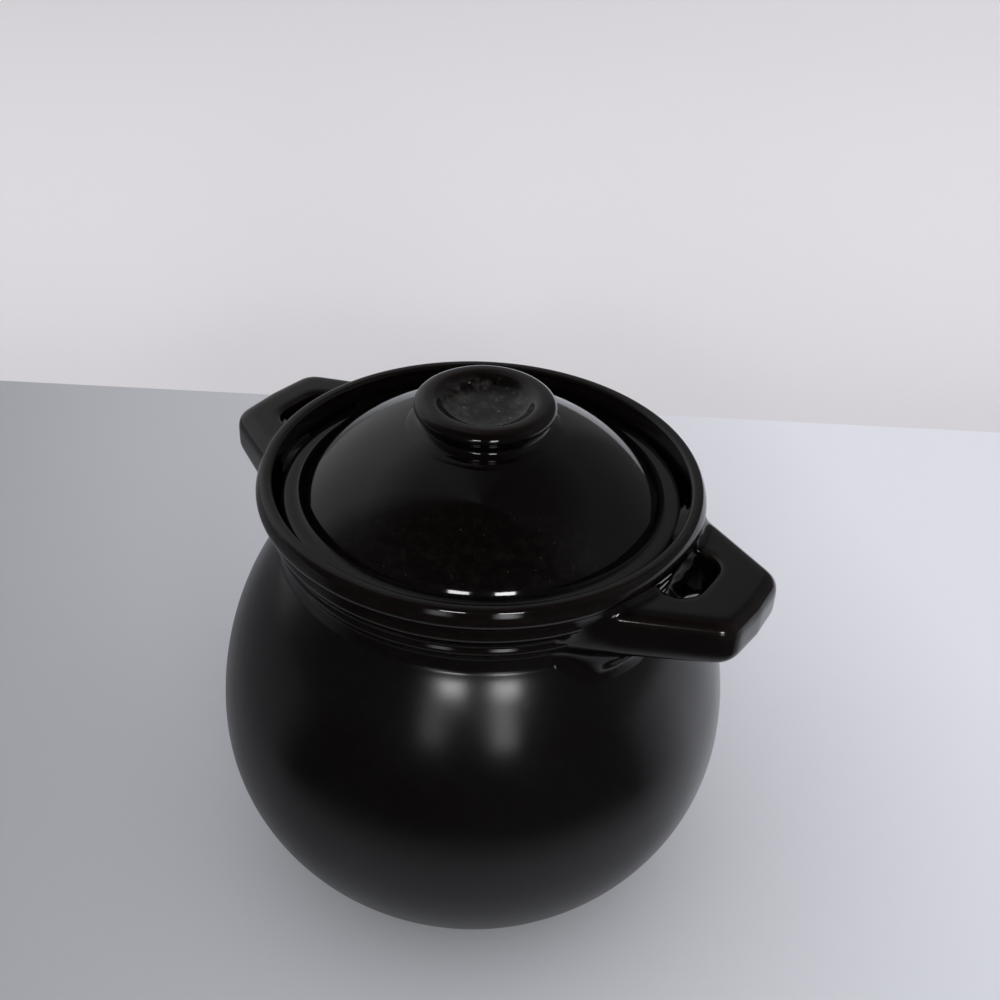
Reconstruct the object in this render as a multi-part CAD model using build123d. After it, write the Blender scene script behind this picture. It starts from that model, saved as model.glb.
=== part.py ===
from build123d import *
import os
from math import cos, pi, radians, sin, sqrt, tan

# A lidded clay soup pot: a globe-bellied body, two luted loop handles, a domed lid and its dished knob.
# Millimetres. The origin is the centre of the foot's flat underside, +Z is up, the handles lie along X.

# Body, from the foot up
rim_h = 186.0
rim_r = 85.0
belly_r = 102.5
belly_h = 76.0
wall = 7.0
floor_t = 9.0
foot_r = 58.0
foot_h = 4.0
foot_shelf = 3.5
foot_bevel = 1.2

# Lip and neck: drops are measured down from the rim, insets inwards from the lip's widest line
lip_w = 6.3
lip_drop = 4.5
lip_top_inset = 2.6
lip_edge = 1.4
under_lip_drop = 10.5
under_lip_inset = 4.5
upper_rib_drop = 14.7
upper_rib_inset = 3.7
rib_gap_drop = 20.4
rib_gap_inset = 7.0
lower_rib_drop = 23.2
lower_rib_inset = 6.3
neck_drop = 28.2
neck_inset = 9.0
shoulder_drop = 33.0
shoulder_inset = 8.0

# Gallery that carries the lid, and the mouth below it
gallery_drop = 12.0
gallery_taper = 2.4
ledge_w = 9.7
mouth_h = 12.0
throat_h = 14.0

# Lid: the flange rests on the ledge, the ring below it drops into the mouth
lid_play = 0.6
flange_t = 4.5
flange_edge = 1.2
flange_w = 9.5
dome_rise = 32.0
dome_fullness_share = 0.58
lid_wall = 6.0
ring_play = 1.4
ring_t = 5.8
ring_drop = 8.0

# Knob: heights are measured up from the crown of the dome
knob_r = 26.5
knob_top = 8.5
knob_edge_drop = 2.6
knob_under_drop = 5.2
knob_under_inset = 0.8
knob_waist_r = 21.0
knob_waist_drop = 9.0
knob_flare_r = 26.6
dish_r = 19.0
dish_edge_drop = 1.9
dish_depth = 5.5
dish_floor_r = 14.0

# Handles: the bar closes the finger hole's outer end, and root and hole widths are half widths
right_bar_w = 21.5
left_bar_w = 15.5
handle_skew = 1.85
handle_drop = 8.0
handle_root_t = 20.5
handle_tip_t = 18.0
handle_root_w = 38.0
root_depth = 12.0
handle_side_angle = 24.9
handle_corner = 10.0
handle_edge = 5.0
handle_bulge = 2.0
hole_w = 14.0
hole_out = 11.0
hole_corner = 8.5
hole_edge = 3.0
luting_out = 9.0
luting_drop = 12.5
luting_bend = 1.6

# Derived places
belly_in_r = belly_r - wall
lip_in_r = rim_r - lip_w
gallery_foot_r = lip_in_r - gallery_taper
mouth_r = gallery_foot_r - ledge_w
ledge_z = rim_h - gallery_drop
shoulder_r = rim_r - shoulder_inset
shoulder_z = rim_h - shoulder_drop
bowl_end_r = foot_r + foot_shelf
flange_r = gallery_foot_r - lid_play
flange_top = ledge_z + flange_t
dome_r = flange_r - flange_w
crown_z = flange_top + dome_rise
ring_r = mouth_r - ring_play
ring_in_r = ring_r - ring_t
overrun = wall

# Semi-heights of the two quarter ellipses that meet at the belly's widest line
shoulder_rise = (shoulder_z - belly_h) / sqrt(1 - (shoulder_r / belly_r) ** 2)
bowl_fall = (belly_h - foot_h) / sqrt(1 - (bowl_end_r / belly_r) ** 2)


def at(radius, height):
    """Point of a turned profile."""
    return Vector(radius, 0, height)


def turned(*lines):
    """Solid of revolution about the pot's axis, from lines that close a profile."""
    return revolve(make_face([edge for line in lines for edge in line.edges()]), Axis.Z)


def belly_radius(height, inset=0.0):
    """Radius of the belly at a height, moved inwards by a wall thickness."""
    span = (shoulder_rise if height > belly_h else bowl_fall) - inset
    return (belly_r - inset) * sqrt(max(0, 1 - ((height - belly_h) / span) ** 2))


def belly_line(high, low, inset=0.0, steps=12):
    """Curve down the belly, with its points closer together where it turns faster."""
    heights = [low + (high - low) * (1 + cos(pi * i / steps)) / 2 for i in range(steps + 1)]
    return Spline(*[at(belly_radius(height, inset), height) for height in heights])


def outer_lines():
    """Outside of the body from the lip's top edge to the edge of the foot."""
    top = at(rim_r - lip_top_inset, rim_h)
    widest = at(rim_r, rim_h - lip_drop)
    under = at(rim_r - under_lip_inset, rim_h - under_lip_drop)
    shoulder = at(shoulder_r, shoulder_z)
    bowl_end = at(bowl_end_r, foot_h)
    neck = [
        under,
        at(rim_r - upper_rib_inset, rim_h - upper_rib_drop),
        at(rim_r - rib_gap_inset, rim_h - rib_gap_drop),
        at(rim_r - lower_rib_inset, rim_h - lower_rib_drop),
        at(rim_r - neck_inset, rim_h - neck_drop),
        shoulder,
    ]
    return [
        Spline(top, widest, under, tangents=[Vector(1, 0, 0), Vector(-1, 0, -1)]),
        Spline(*neck),
        belly_line(shoulder_z, foot_h),
        Line(bowl_end, at(foot_r, foot_h)),
        Line(at(foot_r, foot_h), at(foot_r, foot_bevel)),
        Line(at(foot_r, foot_bevel), at(foot_r - foot_bevel, 0)),
        Line(at(foot_r - foot_bevel, 0), at(0, 0)),
    ]


def body_blank():
    """The body's outer shape, filled in, which the handles are seated against."""
    return turned(
        *outer_lines(),
        Line(at(0, 0), at(0, rim_h)),
        Line(at(0, rim_h), at(rim_r - lip_top_inset, rim_h)),
    )


def pot_body():
    """Hollow body with its rolled lip, ribbed neck, gallery, round belly and flat foot."""
    lip_inner = at(lip_in_r + lip_edge, rim_h)
    gallery_top = at(lip_in_r, rim_h - lip_edge)
    gallery_foot = at(gallery_foot_r, ledge_z)
    mouth_top = at(mouth_r, ledge_z)
    mouth_end = at(mouth_r, ledge_z - mouth_h)
    throat_z = ledge_z - mouth_h - throat_h
    return turned(
        *outer_lines(),
        Line(at(0, 0), at(0, floor_t)),
        Line(at(0, floor_t), at(belly_radius(floor_t, wall), floor_t)),
        belly_line(throat_z, floor_t, wall),
        Line(at(belly_radius(throat_z, wall), throat_z), mouth_end),
        Line(mouth_end, mouth_top),
        Line(mouth_top, gallery_foot),
        Line(gallery_foot, gallery_top),
        Line(gallery_top, lip_inner),
        Line(lip_inner, at(rim_r - lip_top_inset, rim_h)),
    )


def dome_height(radius, edge_r, rise):
    """Height of a dome above its spring line, a little flatter on the flank than an ellipse."""
    return rise * max(0, 1 - (radius / edge_r) ** 2) ** dome_fullness_share


def dome_line(edge_r, spring_z, rise, steps=12):
    """Curve of a dome from its edge up to its crown."""
    radii = [edge_r * cos(pi / 2 * i / steps) for i in range(steps)] + [0]
    points = [at(radius, spring_z + dome_height(radius, edge_r, rise)) for radius in radii]
    return Spline(*points, tangents=[Vector(0, 0, 1), Vector(-1, 0, 0)])


def dome_blank():
    """The dome's outer shape, filled in, which the knob is seated against."""
    return turned(
        dome_line(dome_r, flange_top, dome_rise),
        Line(at(0, crown_z), at(0, flange_top)),
        Line(at(0, flange_top), at(dome_r, flange_top)),
    )


def lid():
    """Domed lid, hollow below, with the flange it rests on and the ring that centres it."""
    ring_z = ledge_z - ring_drop
    flange = Pos(0, 0, ledge_z) * extrude(Circle(flange_r), flange_t)
    flange = fillet(flange.edges(), flange_edge)
    ring = Pos(0, 0, ring_z) * extrude(Circle(ring_r), ring_drop + flange_t)
    hollow = turned(
        dome_line(ring_in_r, ledge_z, flange_t + dome_rise - lid_wall),
        Line(at(0, crown_z - lid_wall), at(0, ring_z)),
        Line(at(0, ring_z), at(ring_in_r, ring_z)),
        Line(at(ring_in_r, ring_z), at(ring_in_r, ledge_z)),
    )
    shell = dome_blank() + flange + ring
    return shell - hollow


def lid_knob():
    """Thick round knob with a dished top, an undercut waist and a flare that runs onto the dome."""
    top_z = crown_z + knob_top
    dish_edge = at(dish_r, top_z - dish_edge_drop)
    rim_top = at((dish_r + knob_r) / 2, top_z)
    edge = at(knob_r, top_z - knob_edge_drop)
    under = at(knob_r - knob_under_inset, top_z - knob_under_drop)
    waist = at(knob_waist_r, top_z - knob_waist_drop)
    flare_z = flange_top + dome_height(knob_flare_r, dome_r, dome_rise)
    flare = at(knob_flare_r, flare_z)
    dish_floor = at(dish_floor_r, top_z - dish_depth)
    blank = turned(
        Line(at(0, flange_top), at(0, top_z - dish_depth)),
        Line(at(0, top_z - dish_depth), dish_floor),
        Spline(dish_floor, dish_edge, rim_top, tangents=[Vector(1, 0, 0), Vector(1, 0, 0)]),
        Spline(rim_top, edge, under, tangents=[Vector(1, 0, 0), Vector(-1, 0, -2)]),
        Spline(under, waist, flare, tangents=[Vector(-2, 0, -1), Vector(2, 0, -1)]),
        Line(flare, at(knob_flare_r, flange_top)),
        Line(at(knob_flare_r, flange_top), at(0, flange_top)),
    )
    return blank - dome_blank()


def handle_plan(reach, slope, root_x, back_x):
    """Outline of a handle from above: a taper with a slightly bowed end and rounded corners."""
    end_x = reach - handle_bulge
    back_w = handle_root_w + (root_x - back_x) * slope
    end_w = handle_root_w - (reach - root_x) * slope
    sides = Polyline((end_x, end_w), (back_x, back_w), (back_x, -back_w), (end_x, -end_w))
    end = ThreePointArc((end_x, -end_w), (reach, 0), (end_x, end_w))
    plan = make_face(sides.edges() + end.edges())
    return fillet(plan.vertices().sort_by(Axis.X)[-2:], handle_corner)


def luting_ring(top_z, low_z):
    """Ring of clay under a handle, with a hollow face that runs from its underside to the shoulder."""
    inner = at(rim_r - neck_inset - root_depth, low_z)
    low = at(rim_r - under_lip_inset, low_z)
    high = at(rim_r + luting_out, top_z)
    bend = (low + high) / 2 + at(-luting_bend, luting_bend)
    return turned(
        ThreePointArc(high, bend, low),
        Line(low, inner),
        Line(inner, at(inner.X, top_z)),
        Line(at(inner.X, top_z), high),
    )


def flat_edges(solid, near_x, far_x, half_w):
    """Edges that lie along the top and bottom of a handle within a stretch of its plan."""
    return [
        edge
        for edge in solid.edges()
        if near_x < edge.center().X < far_x
        and abs(edge.center().Y) < half_w
        and edge.bounding_box().size.Z < handle_tip_t / 2
    ]


def handle(bar_w, bearing):
    """Loop handle: a tapered bar round a finger hole, with clay luted under its two roots."""
    root_x = rim_r - neck_inset
    back_x = root_x - root_depth
    hole_x = rim_r + hole_out
    reach = hole_x + bar_w
    top_z = rim_h - handle_drop
    root_z = top_z - handle_root_t
    tip_z = top_z - handle_tip_t
    low_z = root_z - luting_drop

    plan = handle_plan(reach, tan(radians(handle_side_angle)), root_x, back_x)
    column = Pos(0, 0, low_z) * extrude(plan, top_z - low_z)
    side = Polyline(
        at(back_x, top_z), at(reach, top_z), at(reach, tip_z), at(root_x, root_z), at(back_x, root_z), close=True
    )
    bar = column & extrude(make_face(side.edges()), reach, both=True)
    bar = fillet(flat_edges(bar, root_x, reach + overrun, reach), handle_edge)

    hole = Pos((back_x + hole_x) / 2, 0) * Rectangle(hole_x - back_x, 2 * hole_w)
    hole = fillet(hole.vertices().sort_by(Axis.X)[-2:], hole_corner)
    cutter = Pos(0, 0, low_z - overrun) * extrude(hole, top_z - low_z + 2 * overrun)
    loop = bar - cutter
    loop = fillet(flat_edges(loop, root_x, hole_x + hole_edge, hole_w + hole_edge), hole_edge)
    luting = (column & luting_ring(tip_z, low_z)) - cutter
    return Rot(0, 0, bearing) * (loop + luting) - body_blank()


pieces = {
    "pot_body": pot_body(),
    "handle_right": handle(right_bar_w, handle_skew),
    "handle_left": handle(left_bar_w, 180 - handle_skew),
    "lid": lid(),
    "lid_knob": lid_knob(),
}

os.makedirs("parts", exist_ok=True)
for name, piece in pieces.items():
    export_step(piece, f"parts/{name}.step")
    box = piece.bounding_box()
    print(name, "solids", len(piece.solids()), "volume", round(piece.volume), box.min, box.max)
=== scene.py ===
import math

import bmesh
import bpy
from bpy.props import FloatProperty, FloatVectorProperty, PointerProperty
from mathutils import Matrix, Vector, noise
from mathutils.bvhtree import BVHTree


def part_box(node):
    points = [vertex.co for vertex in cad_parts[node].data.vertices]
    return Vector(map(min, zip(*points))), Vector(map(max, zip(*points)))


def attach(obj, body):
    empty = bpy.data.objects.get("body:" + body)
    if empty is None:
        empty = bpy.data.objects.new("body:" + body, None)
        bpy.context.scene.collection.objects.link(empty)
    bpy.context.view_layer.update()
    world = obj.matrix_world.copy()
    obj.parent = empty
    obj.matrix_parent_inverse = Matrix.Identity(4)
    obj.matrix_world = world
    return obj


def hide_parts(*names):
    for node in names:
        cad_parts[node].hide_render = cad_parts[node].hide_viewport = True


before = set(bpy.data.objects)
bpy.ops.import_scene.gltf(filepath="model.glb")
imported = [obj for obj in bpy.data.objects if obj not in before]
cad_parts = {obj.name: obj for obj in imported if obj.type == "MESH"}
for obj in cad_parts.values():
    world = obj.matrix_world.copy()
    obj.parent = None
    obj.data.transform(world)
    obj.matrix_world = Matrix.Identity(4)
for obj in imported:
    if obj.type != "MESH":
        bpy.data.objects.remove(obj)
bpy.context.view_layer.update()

bl_info = {
    "name": "Clay Soup Pot",
    "version": (1, 0, 0),
    "blender": (4, 5, 0),
    "location": "3D Viewport > Sidebar > Clay Pot",
    "description": "A glazed, globe-bellied clay soup pot with luted loop handles and a domed lid",
    "category": "Object",
}

MM = 0.001
BODY_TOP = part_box("pot_body")[1]
LID_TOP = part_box("lid")[1]

# A full turn, and the turning steps and smoothing levels that every thrown piece shares
FULL_TURN = 2 * math.pi
WHEEL_STEPS = 48
CAGE_LEVELS = 2

# Lip and neck of the body: inset from the lip's widest line and drop below the rim, in millimetres
LIP_LINE = [
    (6.4, 2.6), (6.15, 1.1), (5.2, 0.2), (4.1, 0.0), (2.9, 0.0), (1.95, 0.35), (1.3, 1.15), (0.6, 2.7),
    (0.05, 4.5), (0.1, 6.2), (0.9, 7.9), (2.5, 9.4), (4.1, 10.3),
]
NECK_LINE = [
    (4.6, 11.4), (4.1, 12.9), (3.7, 14.6), (4.2, 16.4), (5.6, 18.4), (6.8, 20.0), (7.05, 21.0),
    (6.6, 21.9), (6.3, 22.9), (6.7, 24.2), (7.9, 25.9), (8.9, 27.4), (9.1, 28.6), (8.7, 30.2),
]
# Knob: radius and height above the crown of the dome, from the dish's middle to the flare's foot
KNOB_LINE = [
    (0.0, 2.6), (6.0, 2.6), (10.5, 2.8), (14.2, 3.5), (16.5, 4.9), (18.2, 6.6), (20.2, 7.5), (22.4, 7.6),
    (24.3, 7.05), (25.8, 5.9), (26.5, 4.5), (26.3, 3.1), (25.4, 1.8), (24.4, 0.6), (23.9, -0.5), (24.1, -1.5),
    (25.0, -2.5), (26.5, -3.4), (28.0, -4.05),
]
# Where the belly's curve meets the neck: inset from the lip's widest line and drop below the rim
SHOULDER_INSET = 8.0 * MM
SHOULDER_DROP = 33.0 * MM
# Where a handle's plan has its root width: inset from the lip's widest line
ROOT_INSET = 9 * MM
# Room light by turn to the right of straight ahead, in degrees, and by height from below to overhead
ROOM_BY_TURN = [
    (-180, 0.04), (-100, 0.05), (-84, 0.13), (-68, 0.45), (-45, 0.51), (-24, 0.45), (-6, 0.27), (14, 0.20),
    (21, 0.20), (28, 0.13), (100, 0.15), (124, 0.06), (180, 0.04),
]
ROOM_BY_HEIGHT = [(0.0, 0.5), (0.35, 0.8), (0.45, 1.0), (0.82, 1.0), (0.93, 0.42), (1.0, 0.30)]
# Pale walls under the windows, in the same two measures
WALLS_BY_TURN = [
    (-180, 0.0), (-171, 0.0), (-166, 0.42), (-162, 0.42), (-157, 0.0), (158, 0.0), (163, 1.0), (167, 1.0),
    (172, 0.0), (180, 0.0),
]
WALLS_BY_HEIGHT = [(0.0, 0.0), (0.515, 0.0), (0.555, 1.0), (0.65, 1.0), (0.70, 0.0)]
# Each window's name, turn in degrees and radiance, and the turn from its middle to either pane
WINDOWS = (("right_window", 163, 22), ("left_window", 190, 19))
PANE_TURN = 2.9


class PotSizes(bpy.types.PropertyGroup):
    rim_height: FloatProperty(
        name="Rim height", description="Height of the lip above the foot", default=BODY_TOP.z, unit="LENGTH")
    rim_radius: FloatProperty(
        name="Rim radius", description="Widest radius of the rolled lip", default=0.085, unit="LENGTH")
    belly_radius: FloatProperty(
        name="Belly radius", description="Widest radius of the belly", default=BODY_TOP.x, unit="LENGTH")
    belly_height: FloatProperty(
        name="Belly height", description="Height of the belly's widest line", default=0.076, unit="LENGTH")
    wall: FloatProperty(name="Wall", description="Thickness of the body's wall", default=0.007, unit="LENGTH")
    floor: FloatProperty(
        name="Floor", description="Thickness of the body's floor", default=0.009, unit="LENGTH")
    foot_radius: FloatProperty(
        name="Foot radius", description="Radius of the bare foot", default=0.058, unit="LENGTH")
    foot_height: FloatProperty(
        name="Foot height", description="Height of the trimmed foot", default=0.004, unit="LENGTH")
    foot_shelf: FloatProperty(
        name="Foot shelf", description="Step from the foot out to the belly", default=0.0035, unit="LENGTH")
    mouth_radius: FloatProperty(
        name="Mouth radius", description="Radius of the mouth below the ledge", default=0.0666, unit="LENGTH")
    gallery_radius: FloatProperty(
        name="Gallery radius", description="Radius of the ledge's outer edge", default=0.0763, unit="LENGTH")
    gallery_drop: FloatProperty(
        name="Gallery drop", description="Depth of the lid's ledge below the rim", default=0.012,
        unit="LENGTH")


class LidSizes(bpy.types.PropertyGroup):
    flange_radius: FloatProperty(
        name="Flange radius", description="Radius of the lid's flange", default=LID_TOP.x, unit="LENGTH")
    flange_thickness: FloatProperty(
        name="Flange thickness", description="Thickness of the lid's flange", default=0.0045, unit="LENGTH")
    dome_radius: FloatProperty(
        name="Dome radius", description="Radius where the dome turns down to the flange", default=0.0665,
        unit="LENGTH")
    dome_curve: FloatProperty(
        name="Dome curve", description="Radius of the dome's crown arc", default=0.092, unit="LENGTH")
    crown: FloatProperty(
        name="Crown", description="Height of the dome's crown above the foot", default=LID_TOP.z,
        unit="LENGTH")
    wall: FloatProperty(name="Wall", description="Thickness of the lid's crown", default=0.006, unit="LENGTH")
    ring_radius: FloatProperty(
        name="Ring radius", description="Radius of the ring that drops into the mouth", default=0.0652,
        unit="LENGTH")
    ring_thickness: FloatProperty(
        name="Ring thickness", description="Wall of the locating ring", default=0.0058, unit="LENGTH")
    ring_drop: FloatProperty(
        name="Ring drop", description="Depth of the ring below the ledge", default=0.008, unit="LENGTH")


class HandleSizes(bpy.types.PropertyGroup):
    right_reach: FloatProperty(
        name="Right reach", description="Pot's axis to the right handle's end", default=0.1173, unit="LENGTH")
    left_reach: FloatProperty(
        name="Left reach", description="Pot's axis to the left handle's end", default=0.1113, unit="LENGTH")
    skew: FloatProperty(
        name="Skew", description="How far each handle stands off the diameter", default=math.radians(1.85),
        subtype="ANGLE")
    root_half: FloatProperty(
        name="Root half width", description="Half width of the handle at the neck", default=0.038,
        unit="LENGTH")
    side_angle: FloatProperty(
        name="Side angle", description="How fast the sides draw in", default=math.radians(24.9),
        subtype="ANGLE")
    corner: FloatProperty(
        name="Corner", description="Radius of the outer corners", default=0.010, unit="LENGTH")
    edge: FloatProperty(
        name="Edge", description="Rounding along the top and bottom edges", default=0.0055, unit="LENGTH")
    drop: FloatProperty(
        name="Drop", description="Depth of the handle's top below the rim", default=0.008, unit="LENGTH")
    root_thickness: FloatProperty(
        name="Root thickness", description="Thickness at the neck", default=0.0205, unit="LENGTH")
    tip_thickness: FloatProperty(
        name="Tip thickness", description="Thickness at the outer end", default=0.018, unit="LENGTH")
    hole_half: FloatProperty(
        name="Hole half width", description="Half width of the finger hole", default=0.014, unit="LENGTH")
    hole_reach: FloatProperty(
        name="Hole reach", description="Pot's axis to the hole's outer wall", default=0.096, unit="LENGTH")
    hole_corner: FloatProperty(
        name="Hole corner", description="Radius of the hole's outer corners", default=0.0085, unit="LENGTH")
    hole_edge: FloatProperty(
        name="Hole edge", description="Rounding along the hole's edges", default=0.0035, unit="LENGTH")
    clay_grain: FloatProperty(
        name="Clay grain", description="Voxel size that joins handle and neck", default=0.0009, unit="LENGTH")


class GlazeLook(bpy.types.PropertyGroup):
    glaze: FloatVectorProperty(
        name="Glaze", description="Colour where the glaze is thick", subtype="COLOR",
        default=(0.0022, 0.0013, 0.0012))
    thin: FloatVectorProperty(
        name="Thin glaze", description="Colour where the glaze breaks over edges", subtype="COLOR",
        default=(0.011, 0.0065, 0.005))
    clay: FloatVectorProperty(
        name="Bare clay", description="Colour of the unglazed foot", subtype="COLOR",
        default=(0.36, 0.27, 0.19))
    dust: FloatVectorProperty(
        name="Dust", description="Colour of specks that dried on the glaze", subtype="COLOR",
        default=(0.16, 0.15, 0.125))
    lid_roughness: FloatProperty(
        name="Lid roughness", description="Gloss of the lid, knob and lip", default=0.06)
    belly_roughness: FloatProperty(name="Belly roughness", description="Gloss of the belly", default=0.21)


class StageLook(bpy.types.PropertyGroup):
    floor: FloatVectorProperty(
        name="Floor", description="Colour of the floor", subtype="COLOR", default=(0.78, 0.79, 0.835))
    backdrop: FloatVectorProperty(
        name="Backdrop", description="Colour of the wall behind", subtype="COLOR",
        default=(0.70, 0.68, 0.695))
    fill: FloatProperty(
        name="Fill", description="Extra soft light from all round on matt surfaces", default=1.0)
    pale_walls: FloatProperty(
        name="Pale walls", description="Brightness of the pale walls under the windows", default=3.7)
    window_rise: FloatProperty(
        name="Window rise", description="Height of the windows above the horizon", default=math.radians(26.5),
        subtype="ANGLE")
    window_distance: FloatProperty(
        name="Window distance", description="Pot's axis to the windows", default=2.2, unit="LENGTH")
    pane_width: FloatProperty(name="Pane width", description="Width of one pane", default=0.20, unit="LENGTH")
    pane_height: FloatProperty(
        name="Pane height", description="Height of one pane", default=0.18, unit="LENGTH")
    wall_distance: FloatProperty(
        name="Wall distance", description="Pot's axis to the wall behind it", default=0.55, unit="LENGTH")
    camera_turn: FloatProperty(
        name="Camera turn", description="Camera's angle round the pot", default=math.radians(33.35),
        subtype="ANGLE")
    camera_pitch: FloatProperty(
        name="Camera pitch", description="Angle below the horizon", default=math.radians(35.14),
        subtype="ANGLE")
    camera_roll: FloatProperty(
        name="Camera roll", description="Lean of the picture", default=math.radians(2.98), subtype="ANGLE")
    camera_place: FloatVectorProperty(
        name="Camera place", description="Camera's position", subtype="XYZ",
        default=(0.2555, -0.3753, 0.4922))
    lens: FloatProperty(name="Lens", description="Focal length in millimetres", default=52.3)


# Shared modelling helpers


def from_axis(place):
    """Distance from the pot's axis."""
    return math.hypot(place.x, place.y)


def ease(value):
    """Smooth step from 0 to 1."""
    clamped = min(1.0, max(0.0, value))
    return clamped * clamped * (3 - 2 * clamped)


def pushed_out(line):
    """Cage points whose subdivided surface passes through the given points of an open profile."""
    cage = []
    for index, (radius, height) in enumerate(line):
        if 0 < index < len(line) - 1:
            before, after = line[index - 1], line[index + 1]
            radius += (radius - (before[0] + after[0]) / 2) / 3
            height += (height - (before[1] + after[1]) / 2) / 3
        cage.append((radius * 3 / (2 + math.cos(FULL_TURN / WHEEL_STEPS)), height))
    return cage


def thrown(bm, line):
    """Spins a profile round the pot's axis into a closed skin with merged poles."""
    points = [bm.verts.new((radius, 0, height)) for radius, height in pushed_out(line)]
    edges = [bm.edges.new(pair) for pair in zip(points, points[1:])]
    bmesh.ops.spin(
        bm, geom=points + edges, cent=(0, 0, 0), axis=(0, 0, 1), dvec=(0, 0, 0), angle=FULL_TURN,
        steps=WHEEL_STEPS, use_merge=True, use_duplicate=False)
    bmesh.ops.remove_doubles(bm, verts=bm.verts, dist=0.01 * MM)
    bmesh.ops.recalc_face_normals(bm, faces=bm.faces)


def drawn_in(vert, amount):
    """Moves a vertex straight towards the pot's axis."""
    shrink = 1 - amount / from_axis(vert.co)
    vert.co.x *= shrink
    vert.co.y *= shrink


def hand_turned(bm, amount, seed, true_to=lambda place: False):
    """Slow unevenness of a hand-thrown piece, always inwards so that the piece keeps its size."""
    waves_around, waves_up = 1.3, 28
    for vert in bm.verts:
        if true_to(vert.co):
            continue
        angle = math.atan2(vert.co.y, vert.co.x)
        across, along = math.cos(angle) * waves_around, math.sin(angle) * waves_around
        place = Vector((across, along, vert.co.z * waves_up + seed))
        inward = amount * (0.5 + 0.5 * noise.noise(place))
        if from_axis(vert.co) > 10 * MM:
            drawn_in(vert, inward)


def new_object(name, bm):
    """Object at the origin that holds the mesh."""
    mesh = bpy.data.meshes.new(name)
    bm.to_mesh(mesh)
    bm.free()
    mesh.shade_smooth()
    obj = bpy.data.objects.new(name, mesh)
    bpy.context.scene.collection.objects.link(obj)
    return obj


def picked(geom, kind):
    """The elements of one kind among an operation's results."""
    return [item for item in geom if isinstance(item, kind)]


def poured(bm, part):
    """Adds a copy of one bmesh to another."""
    mesh = bpy.data.meshes.new("part")
    part.to_mesh(mesh)
    bm.from_mesh(mesh)
    bpy.data.meshes.remove(mesh)


def surface_of(obj, turn=0.0):
    """Search tree of an object's surface, turned round the pot's axis."""
    bm = bmesh.new()
    bm.from_mesh(obj.data)
    bmesh.ops.transform(bm, matrix=Matrix.Rotation(turn, 4, "Z"), verts=bm.verts)
    tree = BVHTree.FromBMesh(bm)
    bm.free()
    return tree


def made_real(obj):
    """Replaces an object's mesh by its modified mesh and drops the modifiers."""
    bpy.context.view_layer.update()
    seen = obj.evaluated_get(bpy.context.evaluated_depsgraph_get())
    mesh = bpy.data.meshes.new_from_object(seen)
    obj.modifiers.clear()
    old = obj.data
    obj.data = mesh
    bpy.data.meshes.remove(old)
    mesh.name = obj.name
    mesh.shade_smooth()
    return obj


def subdivided(obj, levels):
    """Smooths a cage into its final surface."""
    smooth = obj.modifiers.new("Smooth", "SUBSURF")
    smooth.levels = levels
    smooth.render_levels = levels
    return made_real(obj)


def face_material(obj, index, wanted):
    """Gives a material slot to the faces whose centre passes the test."""
    for face in obj.data.polygons:
        if wanted(face.center):
            face.material_index = index


def paint(obj, name, value):
    """Stores a number per vertex for the materials to read."""
    layer = obj.data.attributes.new(name, "FLOAT", "POINT")
    for index, vert in enumerate(obj.data.vertices):
        layer.data[index].value = value(vert.co)


# Materials

# Roughness that dried dust adds to a glaze
DUST_ROUGHNESS = 0.35


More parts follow.
